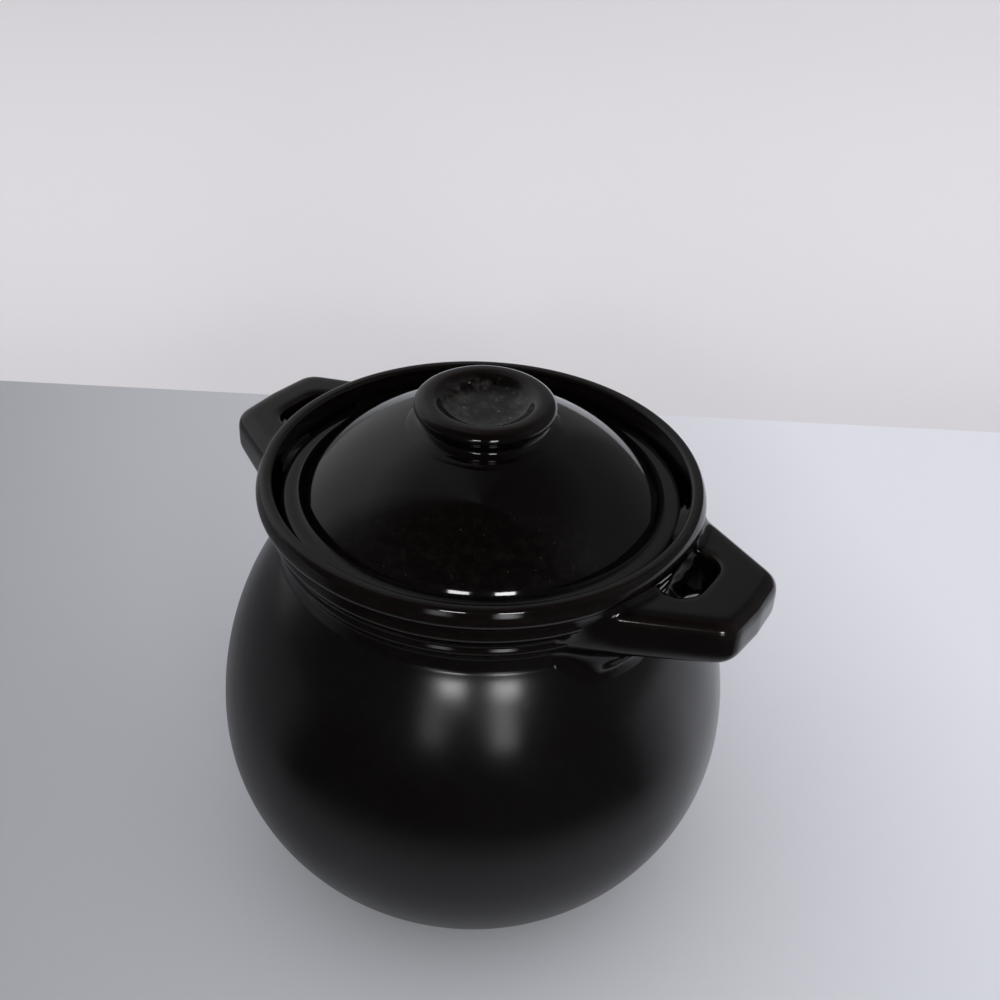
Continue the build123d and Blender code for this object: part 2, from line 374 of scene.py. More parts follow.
class Nodes:
    """Short hand for building a node tree."""

    def __init__(self, tree):
        self.tree = tree

    def add(self, kind, **settings):
        node = self.tree.nodes.new(kind)
        for key, value in settings.items():
            setattr(node, key, value)
        return node

    def link(self, source, target):
        self.tree.links.new(source, target)

    def noise(self, source, scale, detail=2.0, roughness=0.5):
        node = self.add("ShaderNodeTexNoise")
        node.inputs["Scale"].default_value = scale
        node.inputs["Detail"].default_value = detail
        node.inputs["Roughness"].default_value = roughness
        self.link(source, node.inputs["Vector"])
        return node.outputs["Fac"]

    def ranged(self, source, low, high, to_low=0.0, to_high=1.0):
        node = self.add("ShaderNodeMapRange", clamp=True)
        node.inputs["From Min"].default_value = low
        node.inputs["From Max"].default_value = high
        node.inputs["To Min"].default_value = to_low
        node.inputs["To Max"].default_value = to_high
        self.link(source, node.inputs["Value"])
        return node.outputs["Result"]

    def math(self, operation, first, second):
        node = self.add("ShaderNodeMath", operation=operation)
        for socket, value in zip(node.inputs, (first, second)):
            if isinstance(value, (int, float)):
                socket.default_value = value
            else:
                self.link(value, socket)
        return node.outputs["Value"]

    def mix(self, factor, first, second):
        node = self.add("ShaderNodeMix", data_type="RGBA")
        self.link(factor, node.inputs["Factor"])
        for socket, value in ((node.inputs["A"], first), (node.inputs["B"], second)):
            if isinstance(value, (tuple, list)):
                socket.default_value = (*value[:3], 1)
            else:
                self.link(value, socket)
        return node.outputs["Result"]

    def bump(self, height, distance, strength=1.0, under=None):
        node = self.add("ShaderNodeBump")
        node.inputs["Strength"].default_value = strength
        node.inputs["Distance"].default_value = distance
        self.link(height, node.inputs["Height"])
        if under is not None:
            self.link(under, node.inputs["Normal"])
        return node.outputs["Normal"]

    def ramp(self, source, stops):
        """Grey ramp through stops of place and value."""
        node = self.add("ShaderNodeValToRGB")
        elements = node.color_ramp.elements
        while len(elements) < len(stops):
            elements.new(0.5)
        for element, (place, value) in zip(elements, stops):
            element.position = place
            element.color = (value, value, value, 1)
        self.link(source, node.inputs["Fac"])
        return node.outputs["Color"]

    def turned(self, source, angle):
        """Parts of a vector to the right, straight ahead and up, for someone who faces the stage's way."""
        turn = self.add("ShaderNodeVectorRotate", rotation_type="Z_AXIS")
        turn.inputs["Angle"].default_value = -angle
        self.link(source, turn.inputs["Vector"])
        split = self.add("ShaderNodeSeparateXYZ")
        self.link(turn.outputs["Vector"], split.inputs["Vector"])
        return split.outputs["X"], split.outputs["Y"], split.outputs["Z"]

    def blended(self, factor, first, second):
        """One shader that goes over into another."""
        pick = self.add("ShaderNodeMixShader")
        self.link(factor, pick.inputs["Fac"])
        self.link(first, pick.inputs[1])
        self.link(second, pick.inputs[2])
        return pick.outputs["Shader"]


class Finish(Nodes):
    """Node tree of a new material."""

    def __init__(self, name):
        self.material = bpy.data.materials.new(name)
        self.material.use_nodes = True
        super().__init__(self.material.node_tree)
        self.shader = self.tree.nodes["Principled BSDF"]
        self.place = self.add("ShaderNodeTexCoord").outputs["Object"]

    def attribute(self, name):
        return self.add("ShaderNodeAttribute", attribute_name=name).outputs["Fac"]

    def surface(self, shader):
        self.link(shader, self.tree.nodes["Material Output"].inputs["Surface"])


def glaze_material(name, look, roughness, spread, waves):
    """Near-black glaze: deep colour, brown where thin, faint waves, pinholes and dried specks."""
    nodes = Finish(name)
    place = nodes.place
    dusty = nodes.attribute("dusty")
    cloud = nodes.ranged(nodes.noise(place, 55, 4.0, 0.6), 0.3, 0.7, 0.5, 1.0)
    thin = nodes.math("MULTIPLY", nodes.attribute("thin"), cloud)
    colour = nodes.mix(thin, tuple(look.glaze), tuple(look.thin))
    specks = nodes.add("ShaderNodeTexVoronoi", feature="F1")
    specks.inputs["Scale"].default_value = 260
    nodes.link(place, specks.inputs["Vector"])
    dot = nodes.ranged(specks.outputs["Distance"], 0.10, 0.05)
    haze = nodes.ranged(nodes.noise(place, 240, 4.0, 0.7), 0.46, 0.78, 0.0, 0.22)
    dirt = nodes.math("MAXIMUM", nodes.math("MULTIPLY", dot, dusty), nodes.math("MULTIPLY", haze, dusty))
    nodes.link(nodes.mix(dirt, colour, tuple(look.dust)), nodes.shader.inputs["Base Color"])
    base = nodes.ranged(nodes.noise(place, 30, 3.0, 0.55), 0.3, 0.7, roughness - spread, roughness + spread)
    rough = nodes.math("ADD", base, nodes.math("MULTIPLY", dirt, DUST_ROUGHNESS))
    nodes.link(rough, nodes.shader.inputs["Roughness"])
    slow = nodes.bump(nodes.noise(place, 34, 2.0, 0.4), 0.9 * MM, waves)
    fine = nodes.bump(nodes.noise(place, 700, 2.0, 0.5), 0.012 * MM, 0.4, slow)
    pits = nodes.bump(nodes.ranged(specks.outputs["Distance"], 0.02, 0.09), 0.08 * MM, 0.2, fine)
    nodes.link(pits, nodes.shader.inputs["Normal"])
    nodes.shader.inputs["IOR"].default_value = 1.5
    return nodes.material


def clay_material(look):
    """Bare fired clay: warm, matt and sandy, with fine grain and soft patches."""
    nodes = Finish("bare_stoneware")
    sand = nodes.noise(nodes.place, 1400, 4.0, 0.7)
    cloud = nodes.noise(nodes.place, 45, 3.0, 0.55)
    grain, patches = nodes.ranged(sand, 0.3, 0.7, 0.75, 1.0), nodes.ranged(cloud, 0.3, 0.7, 0.8, 1.0)
    tone = nodes.math("MULTIPLY", grain, patches)
    darkest_share = 0.45
    dark = tuple(channel * darkest_share for channel in look.clay)
    nodes.link(nodes.mix(tone, dark, tuple(look.clay)), nodes.shader.inputs["Base Color"])
    nodes.shader.inputs["Roughness"].default_value = 0.85
    nodes.link(nodes.bump(sand, 0.15 * MM, 0.6), nodes.shader.inputs["Normal"])
    return nodes.material


def finished(obj, *names):
    """Gives an object its finishes, in the order of its material slots."""
    for name in names:
        obj.data.materials.append(bpy.data.materials[name])


class CLAYPOT_OT_glazes(bpy.types.Operator):
    """Make the glazes and the bare clay"""
    bl_idname = "claypot.glazes"
    bl_label = "Glazes"

    def execute(self, context):
        look = context.scene.claypot_glaze
        glaze_material("black_belly", look, look.belly_roughness, 0.03, 0.12)
        glaze_material("black_lid", look, look.lid_roughness, 0.015, 0.07)
        glaze_material("black_handle", look, look.lid_roughness + 0.04, 0.03, 0.12)
        clay_material(look)
        return {"FINISHED"}


# Body


def belly_radius(sizes, height, inset):
    """Radius of the belly at a height, moved in by a wall: two quarter ellipses that meet at its widest."""
    if height > sizes.belly_height:
        end_r = sizes.rim_radius - SHOULDER_INSET
        rise = sizes.rim_height - SHOULDER_DROP - sizes.belly_height
    else:
        end_r = sizes.foot_radius + sizes.foot_shelf
        rise = sizes.belly_height - sizes.foot_height
    span = rise / math.sqrt(1 - (end_r / sizes.belly_radius) ** 2)
    share = (height - sizes.belly_height) / (span - inset)
    return (sizes.belly_radius - inset) * math.sqrt(max(0.0, 1 - share * share))


def belly_points(sizes, low, high, count, inset=0.0):
    """Profile points up the belly, closer together towards both ends."""
    points = []
    for step in range(count + 1):
        height = low + (high - low) * (1 - math.cos(math.pi * step / count)) / 2
        points.append((belly_radius(sizes, height, inset), height))
    return points


def body_line(sizes):
    """The body's whole section, from the foot's middle over the lip to the floor's middle."""
    rim_r, rim_z = sizes.rim_radius, sizes.rim_height
    foot_r, foot_z = sizes.foot_radius, sizes.foot_height
    ledge_z = rim_z - sizes.gallery_drop
    gallery, mouth = sizes.gallery_radius, sizes.mouth_radius
    foot = [
        (0, 0), (foot_r / 2, 0), (foot_r - 3 * MM, 0), (foot_r - 1.2 * MM, 0), (foot_r - 0.3 * MM, 0.5 * MM),
        (foot_r, 1.4 * MM), (foot_r, foot_z - 0.6 * MM), (foot_r + 0.4 * MM, foot_z - 0.1 * MM),
        (foot_r + 2.4 * MM, foot_z),
    ]
    outside = belly_points(sizes, foot_z, rim_z - SHOULDER_DROP, 16)
    neck = [(rim_r - inset * MM, rim_z - drop * MM) for inset, drop in reversed(LIP_LINE + NECK_LINE)]
    gallery_line = [
        (gallery + 1.4 * MM, ledge_z + 4.5 * MM), (gallery + 0.5 * MM, ledge_z + 1.4 * MM),
        (gallery, ledge_z + 0.4 * MM), (gallery - 0.7 * MM, ledge_z), (gallery - 5 * MM, ledge_z),
        (mouth + 1.2 * MM, ledge_z), (mouth + 0.3 * MM, ledge_z - 0.4 * MM), (mouth, ledge_z - 1.4 * MM),
        (mouth, ledge_z - 6 * MM), (mouth + 0.2 * MM, ledge_z - 11 * MM),
        (mouth + 1.8 * MM, ledge_z - 16 * MM),
    ]
    bowl_z = sizes.floor + 2 * MM
    inside = belly_points(sizes, bowl_z, ledge_z - 24 * MM, 12, sizes.wall)[::-1]
    floor_r = belly_radius(sizes, bowl_z, sizes.wall)
    floor = [
        (floor_r - 4 * MM, sizes.floor + 0.3 * MM), (floor_r - 9 * MM, sizes.floor),
        (floor_r * 0.4, sizes.floor), (0, sizes.floor),
    ]
    return foot + outside + neck + gallery_line + inside + floor


class CLAYPOT_OT_body(bpy.types.Operator):
    """Throw the body: foot, belly, ribbed neck, rolled lip and gallery"""
    bl_idname = "claypot.body"
    bl_label = "Body"

    def execute(self, context):
        sizes = context.scene.claypot_sizes
        bm = bmesh.new()
        thrown(bm, body_line(sizes))
        seat_z = sizes.rim_height - sizes.gallery_drop - 2 * MM
        seat_r = sizes.gallery_radius + 3 * MM

        def in_gallery(place):
            return place.z > seat_z and from_axis(place) < seat_r

        hand_turned(bm, 0.3 * MM, 3.0, in_gallery)
        pot = subdivided(new_object("soup_pot_body", bm), CAGE_LEVELS)
        finished(pot, "black_belly", "black_lid", "bare_stoneware")
        neck_z = sizes.rim_height - 27.5 * MM
        face_material(pot, 1, lambda centre: centre.z > neck_z)
        foot_z, foot_r = sizes.foot_height - 0.3 * MM, sizes.foot_radius + 0.3 * MM
        face_material(pot, 2, lambda centre: centre.z < foot_z and from_axis(centre) < foot_r)
        rib_drops = (14.6 * MM, 22.9 * MM, 4.0 * MM, 0.3 * MM)
        rib_widths = (1.6 * MM, 1.0 * MM, 1.6 * MM, 0.9 * MM)

        def thin(place):
            drop = sizes.rim_height - place.z
            crests = max(math.exp(-((drop - at) / width) ** 2) for at, width in zip(rib_drops, rib_widths))
            outside = from_axis(place) > sizes.gallery_radius - 1 * MM
            return 0.25 * crests if outside else 0.0

        paint(pot, "thin", thin)
        paint(pot, "dusty", lambda place: 0.04)
        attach(pot, "pot")
        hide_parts("pot_body")
        return {"FINISHED"}


# Lid and knob


def dome_height(lid, radius, inset=0.0):
    """Height of the dome's arc at a radius, moved inwards by a wall."""
    return lid.crown - lid.dome_curve + math.sqrt((lid.dome_curve - inset) ** 2 - radius ** 2)


def dome_points(lid, edge, count, inset=0.0):
    """Profile points from the dome's edge up to its crown."""
    points = []
    for step in range(count + 1):
        radius = edge * math.cos(math.pi / 2 * step / count)
        points.append((radius, dome_height(lid, radius, inset)))
    points[-1] = (0, lid.crown - inset)
    return points


def lid_line(sizes, lid):
    """The lid's whole section, from the crown's underside round the ring and flange to the crown."""
    ledge_z = sizes.rim_height - sizes.gallery_drop
    flange_z = ledge_z + lid.flange_thickness
    ring_z = ledge_z - lid.ring_drop
    ring, flange, dome = lid.ring_radius, lid.flange_radius, lid.dome_radius
    inner = ring - lid.ring_thickness
    under = dome_points(lid, inner - 1 * MM, 10, lid.wall)[::-1]
    rim = [
        (inner, ledge_z - 2 * MM), (inner, ring_z + 1.5 * MM), (inner + 0.8 * MM, ring_z + 0.2 * MM),
        (inner + 2.4 * MM, ring_z), (ring - 1.5 * MM, ring_z), (ring - 0.3 * MM, ring_z + 0.4 * MM),
        (ring, ring_z + 1.6 * MM), (ring, ledge_z - 1.2 * MM), (ring + 0.4 * MM, ledge_z - 0.2 * MM),
        (ring + 1.6 * MM, ledge_z), (flange - 3 * MM, ledge_z), (flange - 0.9 * MM, ledge_z + 0.1 * MM),
        (flange - 0.15 * MM, ledge_z + 0.8 * MM), (flange, ledge_z + 2.2 * MM),
        (flange - 0.2 * MM, flange_z - 0.9 * MM), (flange - 1.1 * MM, flange_z - 0.15 * MM),
        (flange - 3 * MM, flange_z), (dome + 4.4 * MM, flange_z), (dome + 3.2 * MM, flange_z + 0.1 * MM),
        (dome + 2.3 * MM, flange_z + 0.5 * MM), (dome + 1.5 * MM, flange_z + 1.4 * MM),
        (dome + 0.8 * MM, flange_z + 2.5 * MM),
    ]
    return under + rim + dome_points(lid, dome, 16)


class CLAYPOT_OT_lid(bpy.types.Operator):
    """Throw the lid: dome, flange and locating ring"""
    bl_idname = "claypot.lid"
    bl_label = "Lid"

    def execute(self, context):
        sizes = context.scene.claypot_sizes
        lid = context.scene.claypot_lid
        bm = bmesh.new()
        thrown(bm, lid_line(sizes, lid))
        hand_turned(bm, 0.2 * MM, 11.0)
        cover = subdivided(new_object("domed_lid", bm), CAGE_LEVELS)
        finished(cover, "black_lid", "bare_stoneware")
        ledge_z = sizes.rim_height - sizes.gallery_drop
        flange_z = ledge_z + lid.flange_thickness

        def on_ledge(centre):
            return centre.z < ledge_z + 0.3 * MM and from_axis(centre) > lid.ring_radius

        face_material(cover, 1, on_ledge)
        dusty_side = Matrix.Rotation(context.scene.claypot_stage.camera_turn, 3, "Z") @ Vector((0, -1, 0))

        def thin(place):
            radius = from_axis(place)
            return 0.5 * math.exp(-((radius - lid.flange_radius) / (0.8 * MM)) ** 2)

        def dusty(place):
            front = Vector((place.x, place.y, 0)).dot(dusty_side)
            low = ease((front - 30 * MM) / (25 * MM)) * ease((lid.crown - 6 * MM - place.z) / (8 * MM))
            return 0.10 * low if place.z > flange_z else 0.02

        paint(cover, "thin", thin)
        paint(cover, "dusty", dusty)
        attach(cover, "lid")
        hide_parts("lid")
        return {"FINISHED"}


class CLAYPOT_OT_knob(bpy.types.Operator):
    """Throw the dished knob with its waist and its flare onto the dome"""
    bl_idname = "claypot.knob"
    bl_label = "Knob"

    def execute(self, context):
        lid = context.scene.claypot_lid
        line = [(radius * MM, lid.crown + height * MM) for radius, height in KNOB_LINE]
        tail = 30.0 * MM
        tail_z = dome_height(lid, tail) - 0.35 * MM
        line += [
            (tail, tail_z), (tail - 1 * MM, tail_z - 0.8 * MM), (tail / 2, lid.crown - 3 * MM),
            (0, lid.crown - 2.5 * MM),
        ]
        bm = bmesh.new()
        thrown(bm, line)
        hand_turned(bm, 0.25 * MM, 21.0)
        knob = subdivided(new_object("dished_knob", bm), CAGE_LEVELS)
        finished(knob, "black_lid")
        rim_z = lid.crown + 8.0 * MM

        def thin(place):
            return 0.6 * math.exp(-((place.z - rim_z) / (1.2 * MM)) ** 2)

        def dusty(place):
            inside = ease((19 * MM - from_axis(place)) / (4 * MM))
            return 0.9 * inside if place.z > lid.crown + 1 * MM else 0.03

        paint(knob, "thin", thin)
        paint(knob, "dusty", dusty)
        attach(knob, "lid")
        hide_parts("lid_knob")
        return {"FINISHED"}


# Handles


def corner_arc(before, corner, after, radius, count=6):
    """Points of an arc that rounds one corner of a plan."""
    corner = Vector(corner)
    back = (Vector(before) - corner).normalized()
    ahead = (Vector(after) - corner).normalized()
    half = back.angle(ahead) / 2
    centre = corner + (back + ahead).normalized() * (radius / math.sin(half))
    start = corner + back * (radius / math.tan(half))
    end = corner + ahead * (radius / math.tan(half))
    points = []
    for step in range(count + 1):
        ray = (start - centre).normalized().slerp((end - centre).normalized(), step / count)
        points.append(centre + ray * radius)
    return points


def handle_plan(handle, reach, root_x):
    """The handle's plan from above: a bar bent round the finger hole, open towards the pot."""
    back_x = root_x - 12 * MM
    slope = math.tan(handle.side_angle)
    back_w = handle.root_half + (root_x - back_x) * slope
    end_w = handle.root_half - (reach - root_x) * slope
    hole_w, hole_x = handle.hole_half, handle.hole_reach
    bow = 1.2 * MM
    plan = [(back_x, -back_w)]
    plan += corner_arc((back_x, -back_w, 0), (reach - bow, -end_w, 0), (reach, 0, 0), handle.corner)
    plan += [(reach, 0)]
    plan += corner_arc((reach, 0, 0), (reach - bow, end_w, 0), (back_x, back_w, 0), handle.corner)
    plan += [(back_x, back_w), (back_x, hole_w)]
    plan += corner_arc((back_x, hole_w, 0), (hole_x, hole_w, 0), (hole_x, 0, 0), handle.hole_corner)
    plan += corner_arc((hole_x, 0, 0), (hole_x, -hole_w, 0), (back_x, -hole_w, 0), handle.hole_corner)
    plan += [(back_x, -hole_w)]
    return [(point[0], point[1]) for point in plan]


def handle_blank(sizes, handle, reach):
    """A handle before it is joined on: plan extruded to its thickness, with rounded edges."""
    root_x = sizes.rim_radius - ROOT_INSET
    top_z = sizes.rim_height - handle.drop
    bm = bmesh.new()
    ring = [bm.verts.new((x, y, top_z)) for x, y in handle_plan(handle, reach, root_x)]
    top = bm.faces.new(ring)
    top.normal_update()
    if top.normal.z < 0:
        top.normal_flip()
    grown = bmesh.ops.extrude_face_region(bm, geom=[top], use_keep_orig=True)
    for vert in picked(grown["geom"], bmesh.types.BMVert):
        along = (vert.co.x - root_x) / (reach - root_x)
        vert.co.z -= handle.root_thickness + (handle.tip_thickness - handle.root_thickness) * along
    bmesh.ops.recalc_face_normals(bm, faces=bm.faces)
    middle_z = top_z - 5 * MM
    flat = [edge for edge in bm.edges if len({vert.co.z > middle_z for vert in edge.verts}) == 1]
    hole_x, hole_w = handle.hole_reach + 0.1 * MM, handle.hole_half + 0.1 * MM

    def by_hole(edge):
        return all(vert.co.x < hole_x and abs(vert.co.y) < hole_w for vert in edge.verts)

    inner = [edge for edge in flat if by_hole(edge)]
    outer = [edge for edge in flat if not by_hole(edge)]
    rounding = dict(
        affect="EDGES", offset_type="OFFSET", segments=5, profile=0.5, material=-1, clamp_overlap=True)
    bmesh.ops.bevel(bm, geom=outer, offset=handle.edge, **rounding)
    inner = [edge for edge in inner if edge.is_valid]
    bmesh.ops.bevel(bm, geom=inner, offset=handle.hole_edge, **rounding)
    bmesh.ops.triangulate(bm, faces=bm.faces)
    return bm


def luting(sizes, handle):
    """Clay pressed under a handle's two roots, from its underside down to the shoulder."""
    rim_r, rim_z = sizes.rim_radius, sizes.rim_height
    section = [
        (rim_r - 14 * MM, rim_z - 23 * MM), (rim_r + 7 * MM, rim_z - 23 * MM),
        (rim_r + 6 * MM, rim_z - 26.5 * MM), (rim_r + 1.5 * MM, rim_z - 30 * MM),
        (rim_r - 2 * MM, rim_z - 34.5 * MM), (rim_r - 3.5 * MM, rim_z - 38 * MM),
        (rim_r - 14 * MM, rim_z - 38 * MM),
    ]
    root_x = rim_r - ROOT_INSET
    bm = bmesh.new()
    first, last = math.radians(6), math.radians(34)
    for side in (-1, 1):
        half = bmesh.new()
        start = side * last
        away = Vector((math.cos(start), math.sin(start), 0))
        points = [half.verts.new(away * radius + Vector((0, 0, height))) for radius, height in section]
        face = half.faces.new(points)
        bmesh.ops.spin(
            half, geom=[face, *face.edges, *points], cent=(0, 0, 0), axis=(0, 0, 1), dvec=(0, 0, 0),
            angle=-side * (last - first), steps=12, use_merge=False, use_duplicate=False)
        slope = (math.sin(handle.side_angle), side * math.cos(handle.side_angle), 0)
        cuts = (
            ((0, side * (handle.hole_half + 0.8 * MM), 0), (0, -side, 0)),
            ((root_x, side * (handle.root_half - 3.0 * MM), 0), slope),
        )
        for place, outwards in cuts:
            geom = [*half.verts, *half.edges, *half.faces]
            cut = bmesh.ops.bisect_plane(half, geom=geom, plane_co=place, plane_no=outwards, clear_outer=True)
            bmesh.ops.holes_fill(half, edges=picked(cut["geom_cut"], bmesh.types.BMEdge), sides=0)
        poured(bm, half)
        half.free()
    bmesh.ops.recalc_face_normals(bm, faces=bm.faces)
    bmesh.ops.triangulate(bm, faces=bm.faces)
    return bm


def shoulder_chunk(sizes, skin):
    """Shell of neck and shoulder behind a handle, its outside taken from the body's own surface."""
    low_z, high_z = sizes.rim_height - 58 * MM, sizes.rim_height - 1.5 * MM
    spread = math.radians(38)
    shell = 4.2 * MM
    bm = bmesh.new()
    bmesh.ops.create_grid(bm, x_segments=76, y_segments=64, size=1.0)
    for vert in bm.verts:
        angle, height = vert.co.x * spread, (low_z + high_z) / 2 + vert.co.y * (high_z - low_z) / 2
        ray = Vector((-math.cos(angle), -math.sin(angle), 0))
        vert.co = skin.ray_cast(Vector((0, 0, height)) - ray * 0.2, ray)[0]
    grown = bmesh.ops.extrude_face_region(bm, geom=list(bm.faces), use_keep_orig=True)
    for vert in picked(grown["geom"], bmesh.types.BMVert):
        drawn_in(vert, shell)
    bmesh.ops.recalc_face_normals(bm, faces=bm.faces)
    return bm


def clay_joined(parts, grain, name):
    """Presses closed solids together into one skin, as wet clay is."""
    bm = bmesh.new()
    for part in parts:
        poured(bm, part)
    lump = new_object(name, bm)
    press = lump.modifiers.new("Press", "REMESH")
    press.mode = "VOXEL"
    press.voxel_size = grain
    press.adaptivity = 0
    return made_real(lump)


def outside_gap(tree, place):
    """Distance to a closed surface, negative inside it, with the surface's normal at the nearest point."""
    near, normal, _, gap = tree.find_nearest(place)
    return (gap if (place - near).dot(normal) > 0 else -gap), normal


def smoothed(bm, verts, passes):
    """Relaxes vertices towards their neighbours."""
    for _ in range(passes):
        bmesh.ops.smooth_vert(bm, verts=verts, factor=0.5, use_axis_x=True, use_axis_y=True, use_axis_z=True)


def worked_in(bm, skin, clay, sizes):
    """Smooths the crease between handle and neck, widely below and tightly at the lip, and beds the rest."""
    lip_z = sizes.rim_height - 14 * MM
    at_lip, more_below = 3.4, 5.6

    def thumb_reach(place):
        """Distance from the handle's own clay, and how widely a thumb smooths at that height."""
        clear = max(0.0, outside_gap(clay, place)[0])
        return clear, (at_lip + more_below * ease((lip_z - place.z) / (12 * MM))) * MM

    creases = {}
    for vert in bm.verts:
        gap = outside_gap(skin, vert.co)[0]
        clear, reach = thumb_reach(vert.co)
        if gap > -2 * MM:
            creases[vert] = max(abs(gap), clear) / reach
    for share, passes in ((1.0, 16), (0.8, 14), (0.6, 12), (0.4, 8)):
        smoothed(bm, [vert for vert, crease in creases.items() if crease < share], passes)
    smoothed(bm, list(bm.verts), 5)
    for vert in bm.verts:
        gap, normal = outside_gap(skin, vert.co)
        clear, reach = thumb_reach(vert.co)
        bed = 0.5 * MM * ease((clear / reach - 0.45) / 0.6)
        if gap < 1.2 * MM:
            vert.co -= normal * (bed + max(0.0, gap) * ease((clear / reach - 0.8) / 0.4))


def edge_wear(bm):
    """How far the glaze runs thin at each vertex, from 0 on flats and hollows to 0.6 on tight edges."""
    bend = []
    for vert in bm.verts:
        total = 0.0
        for edge in vert.link_edges:
            away = edge.other_vert(vert).co - vert.co
            total -= away.dot(vert.normal) / max(away.length_squared, 1e-12)
        bend.append(total / max(1, len(vert.link_edges)) * MM)
    for _ in range(6):
        calm = []
        for vert in bm.verts:
            near = [bend[edge.other_vert(vert).index] for edge in vert.link_edges]
            calm.append((bend[vert.index] + sum(near)) / (1 + len(near)))
        bend = calm
    return [0.6 * ease((value - 0.02) / 0.06) for value in bend]


def build_handle(context, name, node, reach, bearing):
    """One handle, its roots worked smoothly into the neck and shoulder at its bearing."""
    sizes, handle = context.scene.claypot_sizes, context.scene.claypot_handles
    skin = surface_of(bpy.data.objects["soup_pot_body"], -bearing)
    blank, pad = handle_blank(sizes, handle, reach), luting(sizes, handle)
    added = clay_joined([blank, pad], handle.clay_grain, "clay")
    clay = surface_of(added)
    bpy.data.objects.remove(added)
    lump = clay_joined([blank, pad, shoulder_chunk(sizes, skin)], handle.clay_grain, name)
    bm = bmesh.new()
    bm.from_mesh(lump.data)
    worked_in(bm, skin, clay, sizes)
    bm.normal_update()
    bm.verts.index_update()
    wear = edge_wear(bm)
    bmesh.ops.transform(bm, matrix=Matrix.Rotation(bearing, 4, "Z"), verts=bm.verts)
    bm.to_mesh(lump.data)
    bm.free()
    lump.data.shade_smooth()
    layer = lump.data.attributes.new("thin", "FLOAT", "POINT")
    layer.data.foreach_set("value", wear)
    paint(lump, "dusty", lambda place: 0.03)
    finished(lump, "black_handle")
    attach(lump, "pot")
    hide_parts(node)


class CLAYPOT_OT_handles(bpy.types.Operator):
    """Model the two handles and lute them to the neck"""
    bl_idname = "claypot.handles"
    bl_label = "Handles"

    def execute(self, context):
        handle = context.scene.claypot_handles
        build_handle(context, "right_handle", "handle_right", handle.right_reach, handle.skew)
        build_handle(context, "left_handle", "handle_left", handle.left_reach, math.pi - handle.skew)
        return {"FINISHED"}


# Stage


def heading(stage, turn):
    """Level direction at an angle to the right of straight away from the camera."""
    ahead = Matrix.Rotation(stage.camera_turn - turn, 3, "Z")
    return ahead @ Vector((0, 1, 0))


def by_turn(stops):
    """Stops in degrees from -180 to 180 as shares of the full turn."""
    return [((angle + 180) / 360, value) for angle, value in stops]


def surroundings(stage):
    """Room light by direction: bright back left, paler right, and two pale walls under the windows."""
    world = bpy.data.worlds.new("room")
    world.use_nodes = True
    nodes = Nodes(world.node_tree)
    nodes.tree.nodes.clear()
    direction = nodes.add("ShaderNodeTexCoord").outputs["Generated"]
    right, ahead, up = nodes.turned(direction, stage.camera_turn)
    around = nodes.ranged(nodes.math("ARCTAN2", right, ahead), -math.pi, math.pi)
    level = nodes.ranged(up, -1, 1)
    room = nodes.math(
        "MULTIPLY", nodes.ramp(around, by_turn(ROOM_BY_TURN)), nodes.ramp(level, ROOM_BY_HEIGHT))
    walls = nodes.math(
        "MULTIPLY", nodes.ramp(around, by_turn(WALLS_BY_TURN)), nodes.ramp(level, WALLS_BY_HEIGHT))
    light = nodes.math("ADD", room, nodes.math("MULTIPLY", walls, stage.pale_walls))
    path = nodes.add("ShaderNodeLightPath")
    fill = nodes.math("MULTIPLY", path.outputs["Is Diffuse Ray"], stage.fill)
    glow = nodes.add("ShaderNodeBackground")
    glow.inputs["Color"].default_value = (0.97, 0.98, 1.0, 1)
    nodes.link(nodes.math("ADD", light, fill), glow.inputs["Strength"])
    plain = nodes.add("ShaderNodeBackground")
    plain.inputs["Color"].default_value = (*stage.backdrop, 1)
    seen = nodes.blended(
        path.outputs["Is Camera Ray"], glow.outputs["Background"], plain.outputs["Background"])
    nodes.link(seen, nodes.add("ShaderNodeOutputWorld").inputs["Surface"])
    bpy.context.scene.world = world


def floor_material(stage):
    """Matt pale floor with painted shade that darkens its colour towards the left; on the near side and the
    left, glossy rays see a near-black stand-in for shade, so a glaze mirrors little of it there.
    """
    nodes = Finish("pale_floor")
    right, ahead, _ = nodes.turned(nodes.place, stage.camera_turn)
    # Painted shade: the floor's colour is darkened towards the left, down to 0.41 of its own colour.
    painted_left_shade = 0.41
    shade = tuple(channel * painted_left_shade for channel in stage.floor)
    tone = nodes.ranged(nodes.math("ADD", right, nodes.math("MULTIPLY", ahead, 0.3)), -0.30, 0.30)
    nodes.link(nodes.mix(tone, shade, tuple(stage.floor)), nodes.shader.inputs["Base Color"])
    nodes.shader.inputs["Roughness"].default_value = 0.9
    nodes.shader.inputs["Specular IOR Level"].default_value = 0.15
    # Painted shade in reflections: glossy rays see a near-black diffuse in place of the floor, mostly on the
    # near side beyond about a quarter metre and partly on the left.
    squares = nodes.math("ADD", nodes.math("MULTIPLY", right, right), nodes.math("MULTIPLY", ahead, ahead))
    away = nodes.math("SQRT", squares, 0.0)
    near_side = nodes.ranged(nodes.math("DIVIDE", ahead, away), 0.05, -0.45)
    left_side = nodes.ranged(nodes.math("DIVIDE", right, away), -0.1, -0.75, 0.0, 0.45)
    falling = nodes.math("MULTIPLY", near_side, nodes.ranged(away, 0.17, 0.27, 0.34, 0.94))
    path = nodes.add("ShaderNodeLightPath")
    reflected_shade_mask = nodes.math("MULTIPLY", nodes.math("MAXIMUM", falling, left_side), path.outputs["Is Glossy Ray"])
    dark = nodes.add("ShaderNodeBsdfDiffuse")
    dark.inputs["Color"].default_value = (0.01, 0.01, 0.01, 1)
    nodes.surface(nodes.blended(reflected_shade_mask, nodes.shader.outputs["BSDF"], dark.outputs["BSDF"]))
    return nodes.material


